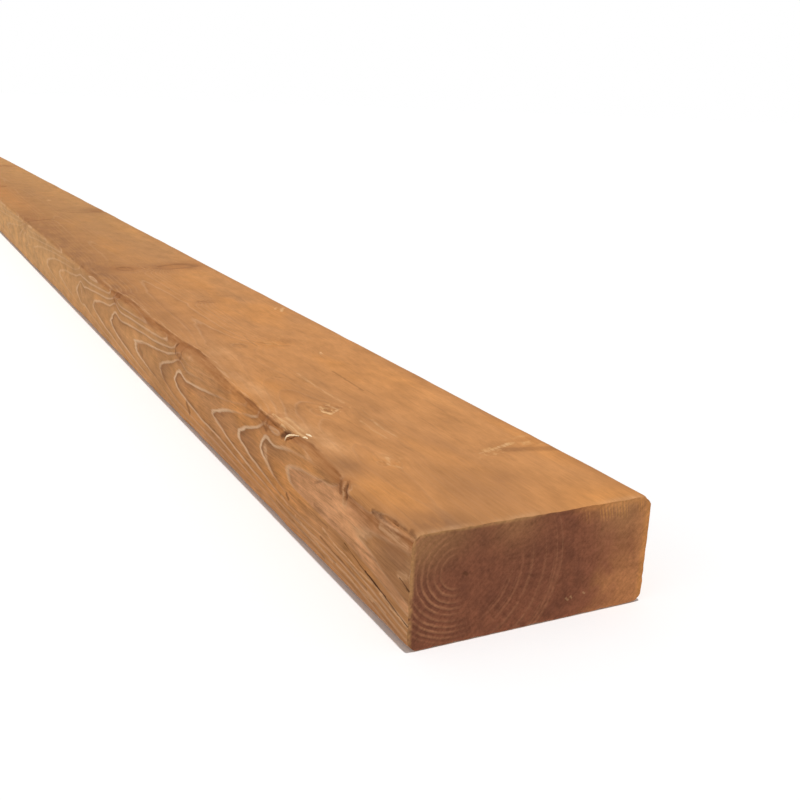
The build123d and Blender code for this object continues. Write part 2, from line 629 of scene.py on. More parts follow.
def board_stations():
    """Distances from the near end at which the section is drawn; the steps widen on the way."""
    stops = [start for start, _ in STATIONS] + [LENGTH]
    runs = []
    for (start, step), stop in zip(STATIONS, stops[1:]):
        runs.append(np.linspace(start, stop, round((stop - start) / step), endpoint=False))
    return np.concatenate(runs + [LENGTH - np.array(LAST_STATIONS)])


def gather_rows(points):
    """Draws rows of the left face together along each crack, so that its groove is sharp."""
    moved = points.copy()
    on_left = smooth(-3.0, -0.5, LEFT - points[..., 1])
    for check in CHECKS:
        share = (moved[..., 0] - check.start[0]) / (check.end[0] - check.start[0])
        height = moved[..., 2] - check.start[2] - share * (check.end[2] - check.start[2])
        near = smooth(-0.3, 0.0, share) * smooth(1.2, 1.0, share) * on_left
        moved[..., 2] -= GATHER_SHARE * near * height * np.exp(-((height / GATHER_REACH) ** 2))
    return moved


def relief(points, eased):
    """How far the wood lies inside the plain section, in millimetres.

    It adds up the planer's faint waves, wear on the eased edges, the chips and the worn part of
    the upper left edge, dished knots, pits, open cracks and the crumbled edge of each saw cut.
    """
    distance, across, up = np.moveaxis(points, -1, 0)
    waves = LEAST_DEPTH + WAVE_DEPTH * lattice_noise(points, (170, 50, 50), 11)
    wear = eased * (LEAST_WEAR + WEAR_DEPTH * lattice_noise(points, (16, 9, 9), 12) ** 2)
    wear += eased * KNOCK_DEPTH * smooth(0.4, 0.9, lattice_noise(points, (55, 30, 30), 15))
    upper_left = eased * smooth(6.0, 1.0, across - LEFT) * smooth(6.0, 1.0, TOP - up)
    chips = upper_left * CHIP_DEPTH * smooth(0.6, 0.95, lattice_noise(points, (9, 4, 4), 13))
    place, kind = knot_look(points)
    dish = DISH_DEPTH * kind[..., 2] * np.exp(-(place[..., :2] ** 2).sum(-1))
    below = below_worn_line(points)
    worn = WORN_DEPTH * smooth(-1.5, 1.5, below) * smooth(WORN_REACH, 1.5, below)
    worn = worn * smooth(20.0, 26.0, up) * smooth(*WORN_END[::-1], distance)
    pits = PIT_DEPTH * stroke_depth(PITS, points)
    centre, reach, depth = TORN_HOLLOW
    pits = np.maximum(pits, depth * np.exp(-(((points - centre) / reach) ** 2).sum(-1)))
    cracks = CRACK_DEPTH * stroke_depth(CHECKS, points)
    from_end = np.minimum(distance, LENGTH - distance)
    crumble = LEAST_CRUMBLE + CRUMBLE_DEPTH * lattice_noise(points, (2.0, 1.8, 1.8), 14) ** 2
    cut = crumble * np.exp(-from_end / CRUMBLE_REACH)
    return waves + wear + chips + worn + dish + pits + cracks + cut


def coons_patch(bottom, right, top, left):
    """A grid across an end: the two blends of opposite sides, less the blend of the corners."""
    u = np.linspace(0, 1, len(bottom))[:, None, None]
    v = np.linspace(0, 1, len(left))[None, :, None]
    rows = (1 - v) * bottom[:, None] + v * top[:, None]
    columns = (1 - u) * left[None] + u * right[None]
    start, end = ((1 - v) * side[0] + v * side[-1] for side in (left, right))
    corners = (1 - u) * start + u * end
    return rows + columns - corners


def end_grid(points, ring, into, seed):
    """(indices, new points) that close one end: a patch across its section, faintly uneven.

    The unevenness leads into the board, which is 1 at the near end and -1 at the far one.
    """
    wide, narrow = WIDE_STEPS + 2 * ARC_STEPS, NARROW_STEPS + 2 * ARC_STEPS
    around = np.append(ring, ring[0])
    bottom = around[: wide + 1]
    right = around[wide : wide + narrow + 1]
    top = around[wide + narrow : 2 * wide + narrow + 1][::-1]
    left = around[2 * wide + narrow :][::-1]
    patch = coons_patch(points[bottom], points[right], points[top], points[left])
    inside = patch[1:-1, 1:-1].reshape(-1, 3)
    index = np.zeros((wide + 1, narrow + 1), int)
    index[:, 0], index[-1, :], index[:, -1], index[0, :] = bottom, right, top, left
    index[1:-1, 1:-1] = len(points) + np.arange(len(inside)).reshape(wide - 1, narrow - 1)
    inside[:, 0] += into * CUT_DEPTH * lattice_noise(inside, (50, 14, 9), seed)
    return index, inside


def quads(index):
    """The four corners of each cell of a grid of indices."""
    cells = index[:-1, :-1], index[1:, :-1], index[1:, 1:], index[:-1, 1:]
    return np.stack(cells, -1).reshape(-1, 4)


def board_surface(radius):
    """The whole board, closed: the section carried along the stations, less its relief.

    Returns its points and faces, then the normal, end share and place on the baked map of each
    face corner, then the points round each saw cut.
    """
    outline, outward, eased = board_outline(radius)
    stations = board_stations()
    shape = (len(stations), len(outline))
    points = np.zeros(shape + (3,))
    points[..., 0] = stations[:, None]
    points[..., 1:] = outline
    points = gather_rows(points)
    normals = np.zeros_like(points)
    normals[..., 1:] = outward
    points -= relief(points, np.broadcast_to(eased, shape))[..., None] * normals
    points, normals = points.reshape(-1, 3), normals.reshape(-1, 3)
    index = np.arange(len(points)).reshape(shape)
    round_index = np.concatenate((index, index[:, :1]), 1)
    near_index, near_points = end_grid(points, index[0], 1.0, 21)
    points = np.concatenate((points, near_points))
    far_index, far_points = end_grid(points, index[-1], -1.0, 22)
    points = np.concatenate((points, far_points))
    side, near, far = quads(round_index), quads(near_index), quads(far_index)[:, ::-1]
    faces = np.concatenate((side, near, far))
    corner_normals = np.zeros((len(faces), 4, 3))
    corner_normals[: len(side)] = normals[side]
    corner_normals[len(side) : len(side) + len(near), :, 0] = -1.0
    corner_normals[len(side) + len(near) :, :, 0] = 1.0
    ends = np.zeros((len(faces), 4))
    ends[len(side) :] = 1.0
    side_map, floor = bake_layout(radius)
    end_maps = [end_layout(points[end], number, floor) for number, end in enumerate((near, far))]
    flat = np.concatenate((side_map, *end_maps)).reshape(-1, 2)
    return points, faces, corner_normals.reshape(-1, 3), ends.ravel(), flat, index[[0, -1]]


def bake_layout(radius):
    """Where each face corner lies on a flat square map, for baking.

    The long faces, unrolled round the section, are cut across into strips laid one above another,
    each strip as wide as the map; the two ends lie side by side above them.
    """
    outline = board_outline(radius)[0]
    stations = board_stations()
    steps = np.linalg.norm(np.diff(outline, axis=0, append=outline[:1]), axis=1)
    round_share = np.append(0, np.cumsum(steps)) / steps.sum()
    starts = np.searchsorted(stations, [start for start, _ in MAP_STRIPS])
    heights = np.array([height for _, height in MAP_STRIPS])
    floors = MAP_GAP + np.append(0, np.cumsum(heights + MAP_GAP))
    strip = np.searchsorted(starts, np.arange(len(stations) - 1), "right") - 1
    first, last = stations[starts][strip], stations[np.append(starts[1:], -1)][strip]
    along = stations[np.arange(len(stations) - 1)[:, None] + (0, 1, 1, 0)]
    along = MAP_GAP + (1 - 2 * MAP_GAP) * (along - first[:, None]) / (last - first)[:, None]
    around = round_share[np.arange(len(outline))[:, None] + (0, 0, 1, 1)]
    around = floors[strip][:, None, None] + heights[strip][:, None, None] * around
    sides = np.stack(np.broadcast_arrays(along[:, None], around), -1).reshape(-1, 4, 2)
    return sides, floors[-1]


def end_layout(corners, number, floor):
    """Where the corners of one end's faces lie on the same map: the end drawn to scale."""
    share = (corners[..., 1:] - LOW[1:]) / (HIGH - LOW)[1:]
    return share * MAP_END + (MAP_GAP + number * (MAP_END[0] + MAP_GAP), floor)


def to_frame(points):
    """Points (distance, across, up) in millimetres, as places in the frame in metres."""
    placed = points.copy()
    placed[:, 0] = NEAR_END - points[:, 0]
    return placed * MM


def write_mesh(name, points, *faces):
    """A new smooth mesh object at the origin, from an array of points and arrays of faces."""
    mesh = bpy.data.meshes.new(name)
    mesh.from_pydata(to_frame(points), (), [face for block in faces for face in block.tolist()])
    mesh.update()
    mesh.shade_smooth()
    piece = bpy.data.objects.new(name, mesh)
    bpy.context.scene.collection.objects.link(piece)
    return piece


def write_values(mesh, name, kind, domain, values):
    """Stores a value or vector for each vertex or face corner under a name that materials read."""
    layer = mesh.attributes.new(name, kind, domain)
    field = "vector" if kind == "FLOAT_VECTOR" else "value"
    layer.data.foreach_set(field, np.ascontiguousarray(values, np.float32).ravel())


def sharpen(mesh, rings):
    """Marks the edges round each saw cut as sharp: both points of each lie on its outline."""
    ends = np.zeros(len(mesh.edges) * 2, np.int32)
    mesh.edges.foreach_get("vertices", ends)
    on_cut = np.zeros(len(mesh.vertices), bool)
    on_cut[rings.ravel()] = True
    sharp = on_cut[ends].reshape(-1, 2).all(1)
    layer = mesh.attributes.new("sharp_edge", "BOOLEAN", "EDGE")
    layer.data.foreach_set("value", sharp)


# Materials


class Field:
    """A socket of a node tree. Arithmetic on it adds Math nodes."""

    def __init__(self, tree, socket=None):
        self.tree = tree
        self.socket = socket

    def node(self, kind, settings=None, sockets=None, output=0):
        """Adds a node: its settings first, then the values or links of its sockets."""
        made = self.tree.nodes.new(kind)
        for name, value in (settings or {}).items():
            setattr(made, name, value)
        for name, value in (sockets or {}).items():
            if isinstance(value, Field):
                self.tree.links.new(value.socket, made.inputs[name])
            else:
                made.inputs[name].default_value = value
        return Field(self.tree, made.outputs[output])

    def math(self, operation, *values):
        return self.node("ShaderNodeMath", {"operation": operation}, dict(enumerate(values)))

    def vector(self, operation, *values, output=0):
        settings = {"operation": operation}
        return self.node("ShaderNodeVectorMath", settings, dict(enumerate(values)), output)

    def __add__(self, other):
        return self.math("ADD", self, other)

    def __radd__(self, other):
        return self.math("ADD", other, self)

    def __sub__(self, other):
        return self.math("SUBTRACT", self, other)

    def __rsub__(self, other):
        return self.math("SUBTRACT", other, self)

    def __mul__(self, other):
        return self.math("MULTIPLY", self, other)

    def __rmul__(self, other):
        return self.math("MULTIPLY", other, self)

    def __truediv__(self, other):
        return self.math("DIVIDE", self, other)

    def __rtruediv__(self, other):
        return self.math("DIVIDE", other, self)

    def __pow__(self, other):
        return self.math("POWER", self, other)

    def least(self, other):
        return self.math("MINIMUM", self, other)

    def most(self, other):
        return self.math("MAXIMUM", self, other)

    def ramp(self, low, high):
        """0 below low, 1 above high and a smoothstep between; low may be the greater one."""
        settings = {"interpolation_type": "SMOOTHSTEP"}
        sockets = {"Value": self, "From Min": low, "From Max": high}
        return self.node("ShaderNodeMapRange", settings, sockets)

    def scaled(self, along, across, up):
        """This vector stretched along each axis."""
        return self.vector("MULTIPLY", self, (along, across, up))

    def size(self):
        """The length of this vector."""
        return self.vector("LENGTH", self, output="Value")

    def noise(self, detail=2.0, roughness=0.5, output="Fac"):
        """Noise from 0 to 1 at this place, with cells of about one unit."""
        sockets = {"Vector": self, "Scale": 1.0, "Detail": detail, "Roughness": roughness}
        return self.node("ShaderNodeTexNoise", None, sockets, output)

    def mix(self, first, second):
        """The first colour where this is 0, the second where it is 1.

        A Mix node's colours go in at its sockets 6 and 7 and come out at 2.
        """
        first, second = (c if isinstance(c, Field) else opaque(c) for c in (first, second))
        sockets = {"Factor": self, 6: first, 7: second}
        return self.node("ShaderNodeMix", {"data_type": "RGBA"}, sockets, 2)

    def dimmed(self, share):
        """This colour times a share."""
        return self.node("ShaderNodeVectorMath", {"operation": "SCALE"}, {0: self, "Scale": share})

    def attribute(self, name, output="Fac"):
        """A value or a vector that the mesh holds under this name."""
        return self.node("ShaderNodeAttribute", {"attribute_name": name}, None, output)

    def joined(self, *parts):
        """A vector from its parts."""
        return self.node("ShaderNodeCombineXYZ", None, dict(enumerate(parts)))

    def parts(self):
        """The three parts of this vector."""
        split = self.node("ShaderNodeSeparateXYZ", None, {0: self})
        return [Field(self.tree, socket) for socket in split.socket.node.outputs]


def new_material(name):
    """(material, start of its expressions, its Principled shader)."""
    material = bpy.data.materials.new(name)
    material.use_nodes = True
    tree = material.node_tree
    return material, Field(tree), tree.nodes["Principled BSDF"]


def link(field, shader, name):
    """Feeds a socket of a shader from an expression."""
    field.tree.links.new(field.socket, shader.inputs[name])


def opaque(colour):
    """A colour with full opacity, as a colour socket takes it."""
    return (*colour, 1.0)


HOLLOW_SHARE = 0.15  # how much the way off its face counts against a stroke


def stroke_mask(board, strokes):
    """How deep in any of the strokes a place lies: full on its line and gone past its width.

    Along an axis on which both its ends are alike, a stroke lies level with a face; the way off
    that face counts for little, so that a stroke also colours the hollow under it.
    """
    mask = None
    for stroke in strokes:
        run = np.array(stroke.end) - stroke.start
        offset = board.vector("SUBTRACT", board, stroke.start)
        offset = offset.scaled(*(HOLLOW_SHARE if step == 0 else 1.0 for step in run))
        share = offset.vector("DOT_PRODUCT", offset, tuple(run / (run @ run)), output="Value")
        share = share.node("ShaderNodeClamp", None, {"Value": share})
        sockets = {0: tuple(run), "Scale": share}
        along = share.node("ShaderNodeVectorMath", {"operation": "SCALE"}, sockets)
        away = offset.vector("SUBTRACT", offset, along).size()
        here = away.ramp(1.1 * stroke.width, 0.25 * stroke.width) * stroke.strength
        mask = mask.most(here) if mask else here
    return mask


def ring_choice(radius, radii):
    """1 close to any of the radii and 0 away from them."""
    chosen = None
    for measured in radii:
        here = radius.math("ABSOLUTE", radius - measured).ramp(1.1, 0.6)
        chosen = chosen.most(here) if chosen else here
    return chosen


LEAST_SLOPE = 0.012  # rings per millimetre, where a ring runs almost along the surface
USUAL_WOBBLE = 0.27  # what the noise adds to the ring count on average


def wood_fields(start):
    """What the wood's colours are worked out from: the mesh's values, the rings and shared noise.

    The fraction of the ring count says how far out in its ring a place lies, and its whole part
    which ring that is; each ring gets its own luck. Noise is stretched along the fibres.
    """
    wood = SimpleNamespace(start=start)
    wood.place = start.attribute("log_place", "Vector")
    wood.slope = start.attribute("ring_slope").most(LEAST_SLOPE)
    wood.shows = start.attribute("rings_show")
    wood.end = start.attribute("end_grain")
    wood.side = 1 - wood.end
    wood.duller, wood.warmer, wood.paler = start.attribute("tints", "Vector").parts()
    board = start.node("ShaderNodeTexCoord", None, None, "Object")
    board = board.vector("MULTIPLY_ADD", board, (-1 / MM, 1 / MM, 1 / MM), (NEAR_END, 0, 0))
    wood.board = board
    wood.distance, wood.across, wood.up = board.parts()
    round_edge = wood.across - LEFT - (TOP - wood.up)
    wood.on_left = wood.across.ramp(LEFT + 3, LEFT + 1.2) * round_edge.ramp(0.5, -3)

    radius = wood.place.scaled(0, 1, 1).size()
    wobble = 0.32 * wood.place.scaled(0.02, 0.14, 0.14).noise(3.0, 0.55)
    wobble = wobble + 0.22 * wood.place.scaled(0.07, 0.3, 0.3).noise(2.0, 0.5)
    count = radius * (1 / RING_WIDTH + RING_CROWDING * radius) + start.attribute("ring_shift")
    count = count + (wobble - USUAL_WOBBLE)
    year = {"W": count.math("FLOOR", count)}
    wood.luck = start.node("ShaderNodeTexWhiteNoise", {"noise_dimensions": "1D"}, year, "Value")
    wood.radius = radius
    wood.count = count
    wood.ring = count.math("FRACT", count)
    wood.from_edge = wood.ring.least(1 - wood.ring) / wood.slope

    wood.patchy = wood.place.scaled(0.011, 0.06, 0.06).noise(2.0)
    wood.fine = wood.place.scaled(0.03, 1.1, 1.1).noise(4.0, 0.6) - 0.5
    wood.hair = wood.place.scaled(0.11, 3.2, 3.2).noise(2.0, 0.6) - 0.5
    wood.mottle = wood.place.scaled(0.06, 0.17, 0.17).noise(5.0, 0.66) - 0.5
    wood.cloud = board.scaled(0.045, 0.075, 0.075).noise(4.0, 0.6) - 0.5
    return wood


def face_colour(wood, settings):
    """(colour of the long faces, the pale ring lines on them).

    Slow noise and patches blotch the stain. Each ring darkens towards its outer edge, where a thin
    pale line of even width ends it, wherever the surface cuts it.
    """
    distance, on_left, mottle = wood.distance, wood.on_left, wood.mottle
    blotch = wood.board.scaled(0.006, 0.028, 0.028).noise(3.0, 0.55)
    warmth = wood.board.scaled(0.011, 0.032, 0.032).noise(2.0, 0.5)
    face = (blotch.ramp(0.45, 0.7) * 0.7).mix(settings.stain, settings.greyed)
    face = (warmth.ramp(0.5, 0.7) * 0.6).mix(face, settings.warm)
    face = (distance.ramp(250, 900) * 0.7 * (1 - on_left)).mix(face, settings.weathered)
    # the duller patches also carry painted shade low on the left face and along the upper left edge
    face = (wood.duller * (0.55 + 1.8 * mottle)).mix(face, settings.dull_and_shade)
    face = (wood.warmer * (0.75 + 1.0 * mottle)).mix(face, settings.warm)
    face = (wood.paler * (0.5 + 1.6 * mottle)).mix(face, settings.pale)
    streak = wood.place.scaled(0.018, 0.55, 0.55).noise(3.0, 0.55).ramp(0.6, 0.72)
    face = (streak * 0.22).mix(face, settings.dull_and_shade)
    innermost = wood.count.ramp(5.95, 6.1) * wood.count.ramp(7.03, 6.96) * on_left
    face = (innermost * (0.7 + 1.2 * mottle)).mix(face, settings.inner_ring)
    sooty = distance.ramp(25, 21) * on_left * wood.up.ramp(10, 18) * (0.35 + wood.cloud)
    face = sooty.mix(face, settings.dull_and_shade)
    bleached = (0.3 * distance.ramp(150, 330) + 0.45 * distance.ramp(330, 800)) * on_left
    face = bleached.mix(face, settings.bleached)

    sparse = 1 / (1 + (wood.slope * 3.2) ** 2)
    inner = ((1 - wood.ring) / (6 * wood.slope).least(0.4)).ramp(1.0, 0.15)
    late = wood.ring.ramp(0.3, 1.0) ** 1.4
    late = (0.7 * late + 0.45 * inner) * sparse * (0.55 + 0.5 * wood.luck)
    late = late * (0.15 + 0.85 * wood.shows) * (1 - 0.8 * distance.ramp(300, 600))
    face = late.mix(face, settings.late_wood)
    rough = 1 + 1.6 * on_left * distance.ramp(430, 180)
    lit = 0.98 + 0.08 * on_left * distance.ramp(140, 220)
    uneven = (0.6 + 0.35 * on_left) * mottle + (0.4 + 0.2 * on_left) * wood.cloud
    face = face.dimmed(lit + rough * (0.3 * wood.fine + 0.22 * wood.hair) + uneven)

    line = (wood.from_edge / (0.35 + 0.5 * wood.patchy + 0.06 / wood.slope)).ramp(1.0, 0.15)
    line = line * (0.45 + 0.55 * wood.luck) * wood.patchy.ramp(0.25, 0.6)
    line = line * (0.12 + 0.8 * sparse) * wood.shows
    face = (line * (1.4 + 1.5 * wood.hair)).mix(face, settings.ring_line)
    return face, line


def end_colour(wood, settings):
    """(colour of the sawn ends, how high their relief stands).

    Rings show best below and to the left of the pith; to the right only some do, and along the
    upper right edge they end in ticks. Saw teeth, grit and rays roughen the cut.
    """
    radius, across, up = wood.radius, wood.across, wood.up
    _, from_pith, above_pith = wood.place.parts()
    aside, raised = from_pith / radius, above_pith / radius
    smear = wood.board.scaled(0.1, 0.13, 0.13).noise(4.0, 0.62)
    leftward = aside.ramp(0.4, -0.5) * radius.ramp(25, 21) * radius.ramp(4.5, 6)
    leftward = leftward * (0.6 + 0.4 * raised.ramp(0, -0.5))
    left_rings = leftward * smear.ramp(0.25, 0.5) * (0.45 + 0.55 * wood.luck)
    upper = raised + 0.7 * (wood.luck - 0.5) + 1.4 * (smear - 0.5)
    rightward = aside.ramp(0.4, 0.75) * upper.ramp(0.45, -0.25) * smear.ramp(0.3, 0.5)
    right_rings = 0.42 * rightward * ring_choice(radius, END_RINGS)
    high = (TOP - up).ramp(8, 2) * across.ramp(12, 28)
    ticks = wood.from_edge.ramp(0.5, 0.12) * wood.luck.ramp(0.2, 0.5) * high
    line = wood.from_edge.ramp(0.7, 0.1) * left_rings
    line = line.most(wood.from_edge.ramp(0.95, 0.15) * right_rings)

    # a dark band just outside each ring line: painted shade beside the raised line
    ring_line_shade = wood.ring.ramp(0.6, 0.15) * (0.1 + left_rings.most(1.5 * right_rings))
    cut = ring_line_shade.mix(settings.end_grain, settings.end_dark)
    cut = (smear.ramp(0.42, 0.66) * 0.75).mix(cut, settings.end_dark)
    cut = (wood.duller * 0.8 * wood.end).mix(cut, settings.end_dark)
    sap = (radius + 30 * (smear - 0.5)).ramp(48, 68)
    sap = sap * (0.4 + 0.6 * up.ramp(26, 8).most(across.ramp(36, 43)))
    sap = sap.most(0.65 * high + 0.3 * ticks).most(across.ramp(41, 43.5) * 0.9)
    cut = (sap * 0.9).mix(cut, settings.end_sap)
    rim = ((TOP - up).ramp(3.2, 0.8) * across.ramp(8, 24)).most(across.ramp(41, 43.5))
    cut = (rim * 0.55).most(ticks * 0.75).mix(cut, settings.warm)
    cut = (wood.paler * 0.5 * wood.end).mix(cut, settings.end_lip)
    cut = (line * 0.85).mix(cut, settings.end_line)
    lip = (TOP - up).ramp(1.8, 0.4) * across.ramp(12, -12)
    lip = lip.most((across - LEFT).ramp(2.4, 1.0)) * smear.ramp(0.3, 0.5)
    cut = (lip * 0.85).mix(cut, settings.end_lip)

    grit = wood.board.scaled(0.75, 0.75, 0.75).noise(4.0, 0.7) - 0.5
    teeth = grit.joined(0.10 * (across + up), 0.9 * (up - across)).noise(3.0, 0.6) - 0.5
    rays = grit.joined(16 * aside, 16 * raised, 0.1 * radius).noise(3.0, 0.6) - 0.5
    rays = rays * radius.ramp(9, 22)
    cut = cut.dimmed(0.98 + 0.9 * grit + 0.5 * teeth + 0.6 * rays)
    return cut, 0.9 * grit + 0.8 * teeth + 0.9 * line


def add_knots(tone, wood, settings):
    """The colour with knots laid over, each in its own place.

    A knot has a stain that spreads round it, a broken dark rim and pale torn fibres.
    """
    knot = wood.start.attribute("knot_place", "Vector")
    dark, torn, _ = wood.start.attribute("knot_kind", "Vector").parts()
    rho = knot.scaled(1, 1, 0).size() + 0.9 * (knot.scaled(1.1, 1.1, 1.0).noise(2.0) - 0.5)
    tone = (dark * rho.ramp(2.8, 0.8) * 0.6).mix(tone, settings.knot)
    rim = rho.ramp(0.65, 0.95) * rho.ramp(1.4, 1.0)
    rim = rim * knot.scaled(0.8, 0.8, 1.0).noise(1.0).ramp(0.35, 0.6)
    tone = (dark * rim * 0.75).mix(tone, settings.knot_dark)
    fibres = knot.scaled(3.0, 0.8, 1.0).noise(3.0, 0.6).ramp(0.52, 0.68)
    return (torn * rho.ramp(2.6, 1.2) * fibres * 0.8).mix(tone, settings.torn_shade)


def add_edges(tone, wood, settings):
    """The colour with the eased edges laid over: three stained ones and the worn upper left one.

    Below its nibbled line the worn edge is darker, with a dark brim and a pale splintered crest.
    """
    board, distance = wood.board, wood.distance
    edge_noise = board.scaled(0.045, 0.2, 0.2).noise(3.0, 0.6)
    stained = wood.start.attribute("arris") * edge_noise.ramp(0.25, 0.55)
    tone = (stained * 0.9 * wood.side).mix(tone, settings.edge)
    nibbled = board.scaled(0.08, 0.4, 0.4).noise(4.0, 0.68) - 0.5
    below = wood.start.attribute("below_worn_line") + 2.6 * nibbled
    worn_part = wood.up.ramp(20, 26) * distance.ramp(*WORN_END[::-1]) * wood.side
    worn = below.ramp(-0.7, 0.8) * below.ramp(WORN_REACH, 0.8) * worn_part
    splinters = board.scaled(0.05, 0.9, 0.9).noise(3.0, 0.6).ramp(0.45, 0.62)
    streaky = 0.2 + 0.45 * edge_noise.ramp(0.3, 0.6) + 0.35 * splinters
    tone = (worn * streaky).mix(tone, settings.edge)
    brim = below.ramp(-0.5, 0.3) * below.ramp(1.8, 0.5) * worn_part * edge_noise.ramp(0.4, 0.65)
    tone = (brim * 0.35).mix(tone, settings.knot_dark)
    crest = below.ramp(-3.2, -1.4) * below.ramp(0.1, -0.8) * worn_part
    crest = crest * distance.ramp(95, 120) * splinters
    return (crest * 0.5).mix(tone, settings.pale)


def add_marks(tone, wood, settings):
    """(colour with single marks laid over, how high they stand).

    Noise shifts each place before it is compared with the strokes, so that they look torn.
    """
    board, side = wood.board, wood.side
    ragged = board.scaled(0.5, 0.9, 0.9).noise(3.0, 0.6, "Color")
    ragged = ragged.vector("SUBTRACT", ragged, (0.5, 0.5, 0.5))
    sway = board.scaled(0.05, 0.05, 0.05).noise(1.0, 0.5, "Color")
    sway = sway.vector("SUBTRACT", sway, (0.5, 0.5, 0.5)).scaled(0, 3.0, 3.0)
    torn = board.vector("ADD", board, ragged.scaled(2.0, 1.2, 1.2))
    shaken = torn.vector("ADD", torn, sway)
    steady = board.vector("ADD", board, ragged.scaled(1.0, 0.3, 0.3))
    broken = board.scaled(0.13, 1.3, 1.3).noise(3.0, 0.6).ramp(0.4, 0.58)
    lips = stroke_mask(shaken, LIPS) * (0.35 + 0.65 * broken) * side
    tone = lips.mix(tone, settings.pale)
    lifted = stroke_mask(shaken, TEARS) * (0.2 + 0.8 * broken) * side
    lifted = lifted.most(stroke_mask(shaken, END_FLECKS) * wood.end)
    tone = lifted.mix(tone, settings.lifted)
    # pits and nicks painted dark as shade in their hollows; the specks are stain
    spots = stroke_mask(torn, PIT_SHADE_AND_SPECKS)
    tone = (spots * 0.85).mix(tone, settings.knot_dark)
    furrows = stroke_mask(steady, FURROWS) * (0.3 + 0.7 * broken) * side
    tone = furrows.mix(tone, settings.knot_dark)
    # the drying cracks are painted dark: painted shade inside their grooves
    cracks = stroke_mask(steady, CHECKS) * side
    tone = cracks.mix(tone, settings.crack)
    return tone, 0.7 * lifted + 0.3 * lips - 1.5 * cracks - 0.8 * spots


def wood_material(settings):
    """Brown stained softwood, worked out in the log's own coordinates.

    The long faces and the darker, redder end grain are coloured apart; knots, eased edges and
    single marks are laid over both.
    """
    material, start, shader = new_material("treated_wood")
    wood = wood_fields(start)
    face, line = face_colour(wood, settings)
    cut, cut_height = end_colour(wood, settings)
    tone = add_knots(wood.end.mix(face, cut), wood, settings)
    tone = add_edges(tone, wood, settings)
    tone, mark_height = add_marks(tone, wood, settings)
    link(tone, shader, "Base Color")
    link(0.72 + 0.25 * wood.fine + 0.08 * wood.end, shader, "Roughness")
    shader.inputs["Specular IOR Level"].default_value = 0.2
    shader.inputs["IOR"].default_value = 1.12
    height = (0.6 * wood.fine + 0.4 * wood.hair) * wood.side + wood.end * cut_height
    height = height + 0.3 * line + mark_height
    sockets = {"Strength": 0.5, "Distance": 0.3 * MM, "Height": height}
    link(height.node("ShaderNodeBump", None, sockets, "Normal"), shader, "Normal")
    return material


def sliver_material(settings):
    """Fresh torn fibres: pale wood streaked along each sliver."""
    material, start, shader = new_material("torn_fibre")
    board = start.node("ShaderNodeTexCoord", None, None, "Object").scaled(1 / MM, 1 / MM, 1 / MM)
    streak = board.scaled(0.6, 2.5, 2.5).noise(3.0, 0.6)
    fibre = streak.ramp(0.3, 0.7).mix(settings.torn, settings.torn_shade)
    link(fibre, shader, "Base Color")
    shader.inputs["Roughness"].default_value = 0.7
    shader.inputs["Specular IOR Level"].default_value = 0.25
    return material


# Torn slivers on the upper left edge


class Sliver(NamedTuple):
    """A torn strip of wood from one place to another (distance, across, up), arched by its rise."""

    start: tuple
    end: tuple
    rise: tuple
    width: float
    thickness: float


SLIVERS = (
    Sliver((101.6, -44.1, 34.6), (98.0, -39.8, 37.2), (0.2, -1.5, 1.25), 1.25, 0.6),
    Sliver((96.2, -39.6, 37.0), (92.2, -38.9, 37.6), (0.0, 0.2, 0.40), 0.9, 0.45),
    Sliver((99.0, -37.3, 37.3), (93.2, -36.6, 37.6), (0.0, 0.1, 0.28), 0.9, 0.4),
)


SLIVER_LIFT = (0.0, -0.55, 0.83)  # the way that a sliver's broad side looks, off the edge


def sliver_surface(sliver, along=28, around=10):
    """A flat oval carried along an arched path, its breadth tapering to a point at both ends.

    The path is the straight line from start to end plus the rise times a half sine.
    """
    share = np.linspace(0, 1, along + 2)[1:-1]
    start, end, rise = (np.array(v, float) for v in (sliver.start, sliver.end, sliver.rise))
    path = start + share[:, None] * (end - start) + np.sin(math.pi * share)[:, None] * rise
    tangent = unit(np.gradient(path, axis=0))
    flat = unit(np.cross(tangent, SLIVER_LIFT))
    lift = np.cross(flat, tangent)
    breadth = np.sqrt(np.sin(math.pi * share))[:, None, None]
    turn = np.linspace(0, 2 * math.pi, around, endpoint=False)[None, :, None]
    wide, high = sliver.width / 2 * np.cos(turn), sliver.thickness / 2 * np.sin(turn)
    oval = wide * flat[:, None] + high * lift[:, None]
    skin = (path[:, None] + breadth * oval).reshape(-1, 3)
    points = np.concatenate((skin, start[None], end[None]))
    index = np.arange(along * around).reshape(along, around)
    index = np.concatenate((index, index[:, :1]), 1)
    first = np.stack((index[0, :-1], index[0, 1:], np.full(around, along * around)), -1)
    last = np.stack((index[-1, 1:], index[-1, :-1], np.full(around, along * around + 1)), -1)
    # The distance from the near end runs against x, so the faces are turned over to look outward
    return points, quads(index)[:, ::-1], np.concatenate((first, last))[:, ::-1]


# Settings that a user would change


def number(name, description, default, **more):
    """A number property."""
    return bpy.props.FloatProperty(name=name, description=description, default=default, **more)


def length(name, description, default):
    """A length property in metres."""
    return number(name, description, default, unit="LENGTH")


def angle(name, description, degrees):
    """An angle property."""
    return number(name, description, math.radians(degrees), subtype="ANGLE")


def colour(name, description, *screen):
    """A colour property from screen values."""
    return bpy.props.FloatVectorProperty(
        name=name, description=description, default=srgb(*screen), subtype="COLOR", min=0, max=1
    )


